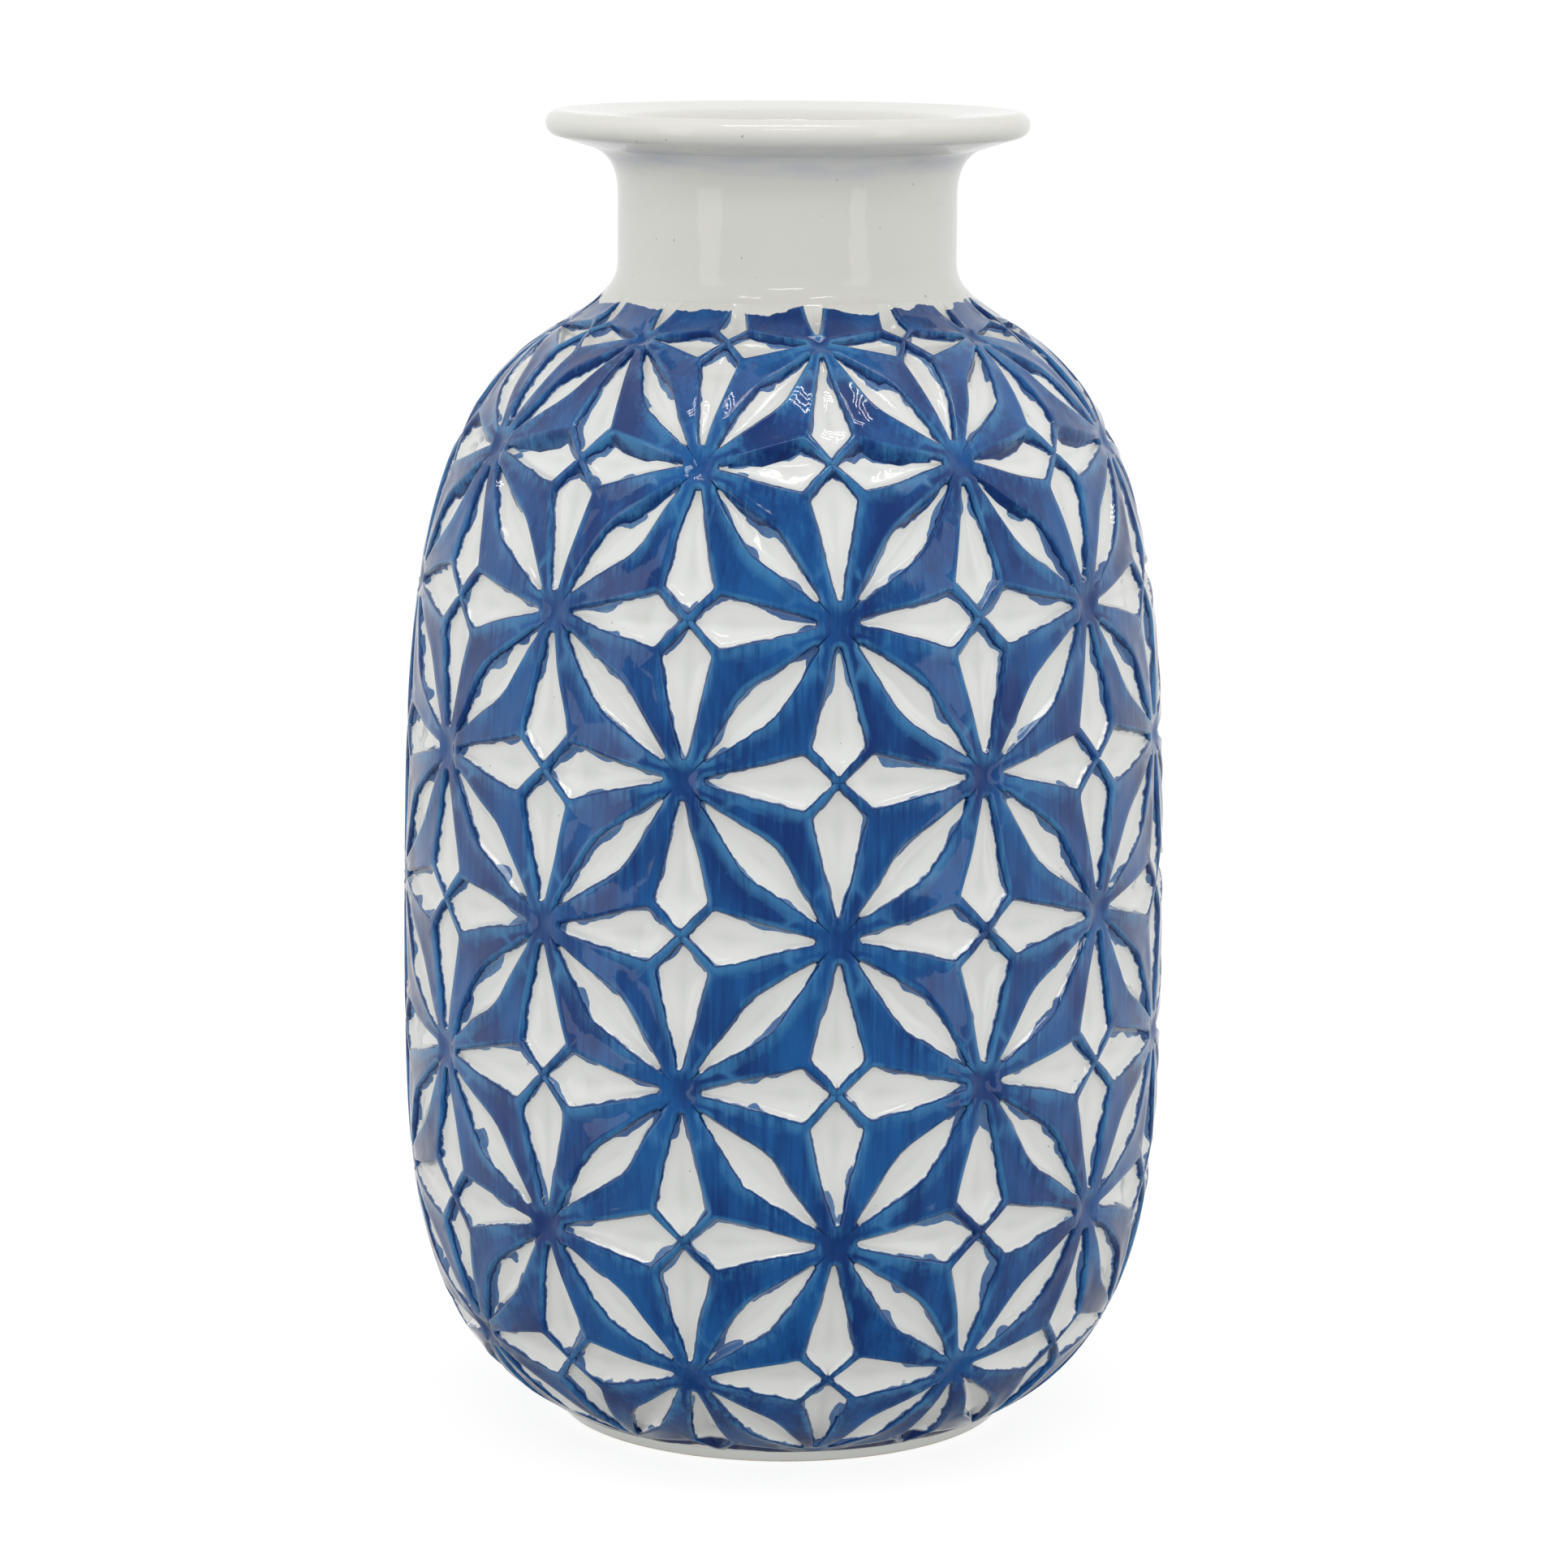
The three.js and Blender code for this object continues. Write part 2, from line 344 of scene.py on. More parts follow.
    def field(self, places: np.ndarray, overhang: np.ndarray,
              ) -> tuple[np.ndarray, np.ndarray, np.ndarray]:
        """Depth of the relief, distance to the painted edge and how much it grows upward.

        Args:
            places: Places anywhere on the sheet, in tile units.
            overhang: How much of a brow each place has over its upper edges, from nought to one.

        Returns:
            Depths below the crests and distances, in millimetres, and slopes from -1 to 1.
        """
        repeat, order = np.unique(np.round(np.mod(places, 2), 5), axis=0, return_inverse=True)
        order = order.ravel()
        shift = np.array([0.0, 0.01])
        here, above, below = (self.fold(repeat + k * shift) * self.pitch for k in (0, 1, -1))
        kites, leaves = self.kites(), self.leaves()
        gap, up, down = (self.distance(points, kites + leaves) for points in (here, above, below))
        slope = ((up - down) / (2 * shift[1] * self.pitch))[order]
        crown = places[:, 1] > self.rows
        gap = np.where(crown, self.distance(here, kites)[order], gap[order])
        brow = self.brow * overhang * ease((slope - 0.65) / 0.25)
        lower = self.lower_shift * ease((-slope - 0.3) / 0.5)
        depth = -self.height(here[order], gap + lower, brow)
        rim, knee = self.brow_rim, self.brow_knee
        share = (gap + brow - knee) / (rim + brow - knee)
        edge = np.where(gap + brow < knee, gap + brow, knee + (rim - knee) * share)
        edge = np.where(gap < rim, edge, gap)
        return depth, edge, slope

    def reach(self, start: np.ndarray, normal: np.ndarray, outlines: list[np.ndarray],
              sign: float, limit: float) -> np.ndarray:
        """How far each ray goes before another petal, or another side of its own, is nearer.

        Args:
            start: Points on an outline.
            normal: Outward normals there.
            outlines: Every petal nearby.
            sign: 1 for rays across the pads and -1 for rays across the petal's bed.
            limit: Longest ray.
        """
        low = np.zeros(len(start))
        high = np.full(len(start), limit)
        for _ in range(18):
            middle = (low + high) / 2
            there = start + sign * normal * middle[:, None]
            clear = sign * self.distance(there, outlines) > middle * 0.999 - 0.01
            low = np.where(clear, middle, low)
            high = np.where(clear, high, middle)
        return low

    def quarter(self) -> tuple[np.ndarray, list[tuple[int, ...]]]:
        """Triangulated quarter tile, flat, with rows of points along every edge of the relief.

        Returns:
            Places in millimetres, with the star at the origin, and triangles.
        """
        outlines = self.kites() + self.leaves()
        cloud = PointCloud(self.pitch)
        for petal in (self.kite, self.leaf):
            ring = petal.outline(self.spacing) * self.pitch
            side = np.roll(ring, -1, axis=0) - ring
            side /= np.linalg.norm(side, axis=1)[:, None]
            along = side + np.roll(side, 1, axis=0)
            along /= np.linalg.norm(along, axis=1)[:, None]
            outward = np.column_stack([along[:, 1], -along[:, 0]])
            if signed_distance(ring[:1] + outward[:1], ring)[0] < 0:
                outward = -outward
            inner = cloud.inside(ring)
            across = self.reach(ring, outward, outlines, 1, 2 * self.rings_out[-1])
            within = self.reach(ring, outward, outlines, -1, self.pitch)
            cloud.add_ring(ring, inner)
            for offset in self.rings_out:
                cloud.add_ring(ring + outward * offset, inner & (offset < 0.8 * across))
            for offset in self.rings_in:
                cloud.add_ring(ring - outward * offset, inner & (offset < 0.8 * within))
            cloud.add_ring(ring - outward * within[:, None], inner)
            if petal is self.kite:
                narrow = inner & (across < 1.15 * self.rings_out[-1])
                cloud.add_ring(ring + outward * across[:, None], narrow)
        grid = np.arange(0, 1, self.pad_spacing) * self.pitch
        lattice = np.array([(x + (j % 2) * grid[1] / 2, y) for j, y in enumerate(grid) for x in grid])
        edge = np.linspace(0, self.pitch / 2, 6)
        lattice = np.vstack([lattice, np.column_stack([self.pitch - edge, edge])])
        clear = self.distance(lattice, outlines) > self.rings_out[-1] + 0.6
        cloud.add_points(lattice[cloud.inside(lattice) & clear])
        angles = np.linspace(0, math.pi / 4, 4)
        for radius in self.hub_rings:
            cloud.add_points(radius * np.column_stack([np.cos(angles), np.sin(angles)]))
        return cloud.triangles()


class PointCloud:
    """Points and edges of a quarter tile, kept on its three sides where they are close to one."""

    NEAR = 0.05

    def __init__(self, pitch: float) -> None:
        """Starts with the quarter's three corners.

        Args:
            pitch: Size of a tile in millimetres.
        """
        self.pitch = pitch
        self.points: list[np.ndarray] = [
            np.array([0.0, 0.0]), np.array([pitch, 0.0]), np.array([pitch / 2, pitch / 2])]
        self.edges: list[tuple[int, int]] = []

    def gaps(self, points: np.ndarray) -> np.ndarray:
        """Distances of points from the quarter's row side, diagonal side and cross side."""
        u, v = points[:, 0], points[:, 1]
        return np.column_stack([v, (u - v) / math.sqrt(2), (self.pitch - u - v) / math.sqrt(2)])

    def inside(self, points: np.ndarray) -> np.ndarray:
        """Which points are in the quarter or on its sides."""
        return (self.gaps(points) > -1e-6).all(axis=1)

    def settled(self, points: np.ndarray) -> np.ndarray:
        """The points, with those close to a side moved onto it."""
        moves = ((0.0, -1.0), (-1.0, 1.0), (1.0, 1.0))
        for i, move in enumerate(moves):
            gap = self.gaps(points)[:, i]
            direction = unit(np.array(move))
            close = np.abs(gap) < self.NEAR
            points = np.where(close[:, None], points + direction * gap[:, None], points)
        return points

    def add_points(self, points: np.ndarray) -> list[int]:
        """Adds points and returns their numbers."""
        first = len(self.points)
        self.points.extend(self.settled(points))
        return list(range(first, len(self.points)))

    def add_ring(self, points: np.ndarray, keep: np.ndarray) -> None:
        """Adds the kept points of a closed ring, and edges between kept neighbours.

        Args:
            points: Points in order round the ring.
            keep: Which of them to add.
        """
        numbers = dict(zip(np.flatnonzero(keep), self.add_points(points[keep])))
        for i, number in numbers.items():
            neighbour = numbers.get((i + 1) % len(points))
            if neighbour is not None:
                self.edges.append((number, neighbour))

    def triangles(self) -> tuple[np.ndarray, list[tuple[int, ...]]]:
        """Triangulates the quarter between its points and edges."""
        points = np.array(self.points)
        edges = list(self.edges)
        for i in range(3):
            row = np.flatnonzero(np.abs(self.gaps(points)[:, i]) < 1e-6)
            row = row[np.argsort(points[row] @ np.array([1.0, 0.3]))]
            edges.extend((int(a), int(b)) for a, b in zip(row, row[1:]))
        placed, _, faces, *_ = delaunay_2d_cdt([Vector(p) for p in points], edges, [], 0, 0.02)
        placed = np.array([tuple(p) for p in placed])
        on_side = np.abs(self.gaps(placed)) < 0.01
        slivers = [on_side[list(face)].all(axis=0).any() for face in faces]
        return placed, [tuple(face) for face, sliver in zip(faces, slivers) if not sliver]


# ---------------------------------------------------------------------------------------------
# Modelling steps
# ---------------------------------------------------------------------------------------------
def activate(piece: bpy.types.Object) -> None:
    """Makes a piece the only one selected, and the active one."""
    bpy.ops.object.select_all(action="DESELECT")
    piece.select_set(True)
    bpy.context.view_layer.objects.active = piece


def mesh_piece(name: str, points: np.ndarray, edges: list[tuple[int, int]],
               faces: list[tuple[int, ...]]) -> bpy.types.Object:
    """Makes a mesh object at the origin and activates it.

    Args:
        name: Name of the object and its mesh.
        points: Rows of x, y and z.
        edges: Pairs of points, where there are no faces.
        faces: Corners of each face.

    Returns:
        The new object.
    """
    mesh = bpy.data.meshes.new(name)
    mesh.from_pydata(points.tolist(), edges, faces)
    piece = bpy.data.objects.new(name, mesh)
    bpy.context.scene.collection.objects.link(piece)
    activate(piece)
    return piece


def modify(piece: bpy.types.Object, kind: str, **settings: object) -> None:
    """Adds a modifier to a piece, sets it and applies it."""
    activate(piece)
    modifier = piece.modifiers.new(kind.lower(), kind)
    for name, value in settings.items():
        setattr(modifier, name, value)
    bpy.ops.object.modifier_apply(modifier=modifier.name)


def edit(piece: bpy.types.Object, *steps: tuple[object, dict[str, object]]) -> None:
    """Runs mesh operators on all of a piece, each with everything selected first."""
    activate(piece)
    bpy.ops.object.mode_set(mode="EDIT")
    for operator, settings in steps:
        bpy.ops.mesh.select_all(action="SELECT")
        operator(**settings)
    bpy.ops.object.mode_set(mode="OBJECT")


def places_of(piece: bpy.types.Object) -> np.ndarray:
    """Rows of x, y and z of a piece's vertices."""
    flat = np.empty(3 * len(piece.data.vertices))
    piece.data.vertices.foreach_get("co", flat)
    return flat.reshape(-1, 3)


def move_to(piece: bpy.types.Object, places: np.ndarray) -> None:
    """Moves a piece's vertices to new places."""
    piece.data.vertices.foreach_set("co", places.ravel())
    piece.data.update()


def record_values(piece: bpy.types.Object, name: str, values: np.ndarray) -> None:
    """Stores one number for each vertex as a named attribute."""
    attribute = piece.data.attributes.new(name, "FLOAT", "POINT")
    attribute.data.foreach_set("value", values.astype(np.float32))


def select_rims(piece: bpy.types.Object, low: float, high: float) -> None:
    """Selects the open edges of a piece whose ends both lie between two levels, in edit mode."""
    shape = bmesh.from_edit_mesh(piece.data)
    for edge in shape.edges:
        levels = [vertex.co.z for vertex in edge.verts]
        edge.select_set(edge.is_boundary and low < min(levels) and max(levels) < high)
    bmesh.update_edit_mesh(piece.data)


def turn(name: str, section: list[tuple[float, float]], steps: int, closed: bool = True,
         ) -> bpy.types.Object:
    """Spins a section of radius and level round the Z axis.

    Args:
        name: Name of the new object.
        section: Points of radius and level.
        steps: Steps round the axis.
        closed: Whether the section's last point joins its first.

    Returns:
        The new object, with its doubles merged and its faces outward.
    """
    points = np.array([(radius, 0.0, level) for radius, level in section])
    count = len(points)
    edges = [(i, (i + 1) % count) for i in range(count if closed else count - 1)]
    piece = mesh_piece(name, points, edges, [])
    edit(piece,
         (bpy.ops.mesh.spin, {"steps": steps, "angle": 2 * math.pi, "center": (0, 0, 0),
                              "axis": (0, 0, 1)}),
         (bpy.ops.mesh.remove_doubles, {"threshold": 0.001 * MM}),
         (bpy.ops.mesh.normals_make_consistent, {"inside": False}))
    return piece


def finish_piece(piece: bpy.types.Object, material: bpy.types.Material,
                 sharp_angle: float = 60.0) -> None:
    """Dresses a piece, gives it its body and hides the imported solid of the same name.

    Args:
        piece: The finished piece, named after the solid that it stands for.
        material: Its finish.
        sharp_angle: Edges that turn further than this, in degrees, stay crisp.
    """
    activate(piece)
    bpy.ops.object.shade_smooth_by_angle(angle=math.radians(sharp_angle))
    piece.data.materials.clear()
    piece.data.materials.append(material)
    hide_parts(piece.name.removesuffix("_glazed"))
    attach(piece, "root")
    LOG.info("%s: %d faces", piece.name, len(piece.data.polygons))


# ---------------------------------------------------------------------------------------------
# Sections of the vase
# ---------------------------------------------------------------------------------------------
@dataclass
class BodyWall:
    """Belly and shoulder, carved with the relief outside and smooth inside.

    Attributes:
        outline: Outside of the wall along its crests.
        relief: The carved pattern.
        foot: Level of the joint with the foot ring.
        top: Level of the joint with the neck collar.
        seat_radius: Bore that holds the base floor.
        seat_top: Level at which that bore ends.
    """

    outline: Outline
    relief: Relief
    foot: float
    top: float
    seat_radius: float
    seat_top: float
    bore_radius: float = 34.6 * MM
    wall: float = 5.4 * MM
    joint_strip: float = 0.3 * MM
    foot_fade: float = 5 * MM
    top_fade: float = 5 * MM
    brow_low: float = 205 * MM
    brow_high: float = 240 * MM
    inner_rows: int = 44
    inner_steps: int = 96
    sway: float = 0.32
    sway_size: float = 13 * MM
    swell: float = 0.13 * MM
    swell_size: float = 22 * MM

    def sheet(self, rows: float) -> bpy.types.Object:
        """Flat sheet of tiles, in millimetres, from the foot joint up.

        Args:
            rows: Height of the sheet in tiles.
        """
        relief = self.relief
        size = relief.pitch
        points, faces = relief.quarter()
        flat = np.column_stack([points, np.zeros(len(points))])
        sheet = mesh_piece("body_wall_glazed", flat, [], faces)
        to_middle = Matrix.Translation((-size / 2, -size / 2, 0))
        turned = Matrix.Rotation(-math.pi / 4, 4, "Z")
        sheet.data.transform(turned @ to_middle)
        modify(sheet, "MIRROR", use_axis=(True, True, False), merge_threshold=0.01)
        sheet.data.transform((turned @ to_middle).inverted())
        other = sheet.copy()
        other.data = sheet.data.copy()
        bpy.context.scene.collection.objects.link(other)
        quarter_turn = Matrix.Rotation(math.pi / 2, 4, "Z")
        other.data.transform(Matrix.Translation((1.5 * size, size / 2, 0)) @ quarter_turn @ to_middle)
        activate(sheet)
        other.select_set(True)
        bpy.ops.object.join()
        half = sheet.copy()
        half.data = sheet.data.copy()
        bpy.context.scene.collection.objects.link(half)
        half.data.transform(Matrix.Translation((2 * size, 2 * size, 0)) @ Matrix.Rotation(math.pi, 4, "Z"))
        activate(sheet)
        half.select_set(True)
        bpy.ops.object.join()
        edit(sheet, (bpy.ops.mesh.remove_doubles, {"threshold": 0.01}))
        for count, step_aside in ((relief.columns // 2, (2 * size, 0, 0)),
                                  (math.ceil(rows / 2), (0, 2 * size, 0))):
            modify(sheet, "ARRAY", count=count, use_relative_offset=False, use_constant_offset=True,
                   constant_offset_displace=step_aside, use_merge_vertices=True,
                   merge_threshold=0.01)
        strip = self.joint_strip / MM
        top = rows * size
        across = {"plane_no": (0, 1, 0), "threshold": 0.0001}
        edit(sheet,
             (bpy.ops.mesh.bisect, {"plane_co": (0, top, 0), "clear_outer": True, **across}),
             (bpy.ops.mesh.bisect, {"plane_co": (0, top - strip, 0), **across}),
             (bpy.ops.mesh.bisect, {"plane_co": (0, strip, 0), **across}))
        return sheet

    def build(self) -> bpy.types.Object:
        """Carves the sheet, wraps it on the outline and closes it with the inner wall."""
        relief = self.relief
        end = self.outline.length_at(self.top)
        tile = (end - relief.plain_band) / relief.rows
        rows, squeeze = relief.rows, relief.crown_squeeze
        piece = self.sheet(rows + (end / tile - rows) * squeeze)
        places = places_of(piece)[:, :2] / relief.pitch
        above = np.maximum(places[:, 1] - rows, 0)
        length = (places[:, 1] - above * (1 - 1 / squeeze)) * tile
        plain = self.outline.at(length)
        overhang = ease((plain[:, 1] - self.brow_low) / (25 * MM))
        overhang *= 1 - 0.75 * ease((plain[:, 1] - self.brow_high) / (12 * MM))
        depth, edge, upward = relief.field(places, overhang)
        strip = self.joint_strip
        fade = ease((length - strip) / self.foot_fade) * ease((end - strip - length) / self.top_fade)
        turn_angle = np.radians(relief.first_turn + 360 / relief.columns * places[:, 0])
        on_wall = np.column_stack(
            [plain[:, 0] * np.sin(turn_angle), -plain[:, 0] * np.cos(turn_angle), plain[:, 1]])
        sway = np.array([noise.noise_vector(Vector(p) / self.sway_size) for p in on_wall])
        swell = np.array([noise.noise(Vector(p) / self.swell_size + Vector((7, 3, 5)))
                          for p in on_wall])
        hold = fade * MM
        length = length + self.sway * 2 * sway[:, 2] * hold
        turn_angle = turn_angle + self.sway * 2 * sway[:, 0] * hold / plain[:, 0]
        sunk = (depth * MM + self.swell * (swell + 0.6)) * fade
        wall = self.outline.at(length, sunk)
        move_to(piece, np.column_stack(
            [wall[:, 0] * np.sin(turn_angle), -wall[:, 0] * np.cos(turn_angle), wall[:, 1]]))
        record_values(piece, "edge", edge)
        record_values(piece, "upper", upward)
        edit(piece, (bpy.ops.mesh.remove_doubles, {"threshold": 0.005 * MM}))
        self.close(piece, end)
        return piece

    def inner_section(self, end: float) -> list[tuple[float, float]]:
        """Inside of the wall, from the collar joint down to the seat of the floor."""
        rows = self.inner_rows
        lengths = np.array([end * i / (rows + 0.5) for i in range(rows, 0, -1)])
        inside = self.outline.at(lengths, self.wall)
        section = [(self.bore_radius, self.top)] + [(float(r), float(z)) for r, z in inside]
        section = [(r, z) for r, z in section if z > self.seat_top + MM]
        return section + [(self.seat_radius, self.seat_top), (self.seat_radius, self.foot)]

    def close(self, piece: bpy.types.Object, end: float) -> None:
        """Joins the inner wall to the carved one and fills between them at both joints."""
        lining = turn("lining", self.inner_section(end), self.inner_steps, closed=False)
        record_values(lining, "edge", np.full(len(lining.data.vertices), -3.0))
        record_values(lining, "upper", np.zeros(len(lining.data.vertices)))
        activate(piece)
        lining.select_set(True)
        bpy.ops.object.join()
        bpy.ops.object.mode_set(mode="EDIT")
        bpy.ops.mesh.select_mode(type="EDGE")
        for level in (self.foot, self.top):
            bpy.ops.mesh.select_all(action="DESELECT")
            select_rims(piece, level - 0.1 * MM, level + 0.1 * MM)
            bpy.ops.mesh.fill(use_beauty=True)
        bpy.ops.object.mode_set(mode="OBJECT")
        edit(piece, (bpy.ops.mesh.quads_convert_to_tris, {}),
             (bpy.ops.mesh.normals_make_consistent, {"inside": False}))


def ease(share: np.ndarray) -> np.ndarray:
    """Smooth rise from nought to one over a share from nought to one."""
    share = np.clip(share, 0, 1)
    return share * share * (3 - 2 * share)


@dataclass
class NeckCollar:
    """Straight neck, flared into the shoulder below and into the lip above."""

    outline: Outline
    height: float
    foot: float
    top: float
    bore_radius: float = 34.6 * MM
    head_drop: float = 19 * MM
    lip_rise: float = 17.0
    joint_strip: float = 0.3 * MM
    curve_rows: int = 14
    steps: int = 128

    def section(self, brim: float) -> list[tuple[float, float]]:
        """Closed section of the neck.

        Args:
            brim: Radius of the lip's underside at the joint.
        """
        start = self.outline.length_at(self.foot)
        end = self.outline.length_at(1.0)
        strip = self.joint_strip
        lengths = np.r_[start, np.linspace(start + strip, end, self.curve_rows)]
        shoulder = [(float(r), float(z)) for r, z in self.outline.at(lengths)]
        radius = self.outline.neck_radius
        head = np.array([radius, self.height - self.head_drop])
        rise = math.tan(math.radians(self.lip_rise))
        tip = np.array([brim, self.top])
        bend = np.array([radius, self.top - (brim - radius) * rise])
        control = np.array([head, head + (bend - head) * 2 / 3, tip + (bend - tip) * 2 / 3, tip])
        flare = [(float(r), float(z)) for r, z in bezier(control, self.curve_rows)]
        last = (brim - strip, self.top - strip * rise)
        shaft = [(radius, float(z)) for z in np.linspace(shoulder[-1][1], head[1], 5)[1:-1]]
        inside = [(self.bore_radius, float(z)) for z in np.linspace(self.top, self.foot, 7)]
        return [*shoulder, *shaft, *flare[:-1], last, flare[-1], *inside]

    def build(self, brim: float) -> bpy.types.Object:
        """Spins the section round the axis."""
        return turn("neck_collar_glazed", self.section(brim), self.steps)


@dataclass
class RimLip:
    """Wide flat lip with a rounded edge, dished towards the mouth."""

    height: float
    foot: float
    radius: float = 55.5 * MM
    edge: float = 3 * MM
    rise: float = 17.0
    dish: float = 7.0
    bore_radius: float = 34.6 * MM
    mouth_round: float = 6.5 * MM
    joint_strip: float = 0.3 * MM
    arc_rows: int = 12
    steps: int = 128

    def tangent(self) -> np.ndarray:
        """Point where the sloping underside meets the rounded edge."""
        centre = np.array([self.radius - self.edge, self.height - self.edge])
        return step(centre, self.edge, self.rise - 90)

    def underside(self, level: float) -> float:
        """Radius of the sloping underside at a level."""
        radius, height = self.tangent()
        return float(radius - (height - level) / math.tan(math.radians(self.rise)))

    def section(self) -> list[tuple[float, float]]:
        """Closed section of the lip."""
        centre = np.array([self.radius - self.edge, self.height - self.edge])
        slope = math.radians(self.dish)
        shelf = step(centre, self.edge, 90 + self.dish)

        def shelf_level(radius: float) -> float:
            return float(shelf[1] - (shelf[0] - radius) * math.tan(slope))

        room = (shelf_level(self.bore_radius) - self.foot) / (1 / math.cos(slope) - math.tan(slope))
        round_ = min(self.mouth_round, 0.95 * room)
        mouth_radius = self.bore_radius + round_
        mouth = np.array([mouth_radius, shelf_level(mouth_radius) - round_ / math.cos(slope)])
        brim = self.underside(self.foot)
        tangent = self.tangent()
        strip = self.joint_strip
        under = [np.array([brim, self.foot]),
                 np.array([brim + strip, self.foot + strip * math.tan(math.radians(self.rise))])]
        under += evenly(under[-1], tangent, 3 * MM)
        rim = [step(centre, self.edge, a)
               for a in np.linspace(self.rise - 90, 90 + self.dish, 2 * self.arc_rows)]
        inner = [step(mouth, round_, a) for a in np.linspace(90 + self.dish, 180, self.arc_rows)]
        top = evenly(rim[-1], inner[0], 3 * MM)
        close = [np.array([self.bore_radius, self.foot + strip]),
                 np.array([self.bore_radius, self.foot])]
        points = [*under, *rim, *top, *inner, *close]
        return [(float(r), float(z)) for r, z in points]

    def build(self) -> bpy.types.Object:
        """Spins the section round the axis."""
        return turn("rim_lip_glazed", self.section(), self.steps)


@dataclass
class FootRing:
    """Standing ring, bare underneath and wiped clean at its edges."""

    height: float
    radius: float = 52.3 * MM
    flare: float = 2.2 * MM
    width: float = 9 * MM
    rounding: float = 0.7 * MM
    spacing: float = 3 * MM
    steps: int = 128

    def build(self) -> bpy.types.Object:
        """Spins a rounded section round the axis."""
        bore = self.radius - self.width
        shape = RoundedShape(
            corners=((bore, 0.0), (self.radius, 0.0), (self.radius + self.flare, self.height),
                     (bore, self.height)),
            rounds=(self.rounding, self.rounding, 0.02 * MM, 0.02 * MM),
        )
        section = [(float(r), float(z)) for r, z in shape.outline(self.spacing)]
        return turn("foot_ring_glazed", section, self.steps)


@dataclass
class BaseFloor:
    """Disc that closes the bottom, slightly sunk in its middle on both faces."""

    radius: float
    low: float
    high: float
    rounding: float = 0.8 * MM
    sink: float = 0.5 * MM
    rows: int = 9
    steps: int = 96

    def build(self) -> bpy.types.Object:
        """Spins the section of the disc round the axis."""
        r, c = self.radius, self.rounding
        radii = np.linspace(0, r - c, self.rows)
        bowl = self.sink * (1 - ease(radii / (r - c)))
        lower = [(float(x), self.low + float(b)) for x, b in zip(radii, bowl)]
        upper = [(float(x), self.high - float(b)) for x, b in zip(radii, bowl)]
        low_turn = [step(np.array([r - c, self.low + c]), c, a) for a in np.linspace(-75, 0, 6)]
        high_turn = [step(np.array([r - c, self.high - c]), c, a) for a in np.linspace(0, 75, 6)]
        side = [(float(x), float(z)) for x, z in (*low_turn, *high_turn)]
        return turn("base_floor_glazed", [*lower, *side, *upper[::-1]], self.steps, closed=False)


# ---------------------------------------------------------------------------------------------
# Finishes
# ---------------------------------------------------------------------------------------------
Value = bpy.types.NodeSocket | float


def linear(red: int, green: int, blue: int) -> tuple[float, float, float, float]:
    """Scene-linear colour from display values between 0 and 255."""
    def decode(level: int) -> float:
        share = level / 255
        return share / 12.92 if share <= 0.04045 else ((share + 0.055) / 1.055) ** 2.4
    return decode(red), decode(green), decode(blue), 1.0


